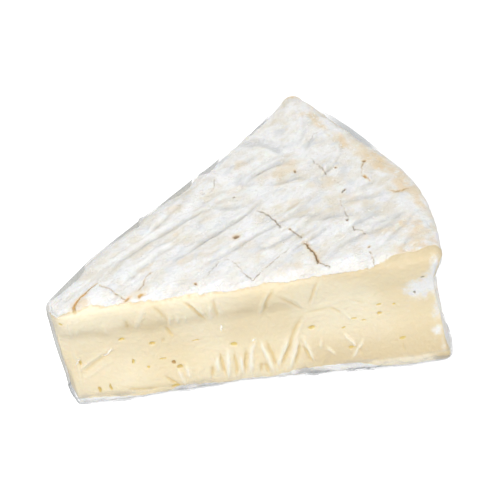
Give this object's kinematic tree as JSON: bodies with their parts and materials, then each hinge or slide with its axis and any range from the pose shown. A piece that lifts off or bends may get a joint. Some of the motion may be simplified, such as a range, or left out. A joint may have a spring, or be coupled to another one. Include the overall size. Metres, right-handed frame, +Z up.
{
  "type": "camembert cheese wedge",
  "caption": "Wedge of white-rinded soft cheese with creamy yellow paste on its cut faces, wrapped tight in clear film.",
  "frame": {"origin": "middle of the underside, where the lower rind rests, at the bounding box's bottom centre", "axes": "+Z up through the cheese's height, +X from the wedge's tip to the wheel's rim, +Y towards the far cut face"},
  "size_m": [0.1114, 0.0938, 0.0407],
  "materials": {
    "cheese": "soft creamy paste on the cut faces, and a white bloomy rind above, below and round the rim",
    "film": "thin clear cling film, creased and glossy"
  },
  "bodies": {
    "root": {"wrapped_wedge": "cheese"}
  },
  "joints": []
}
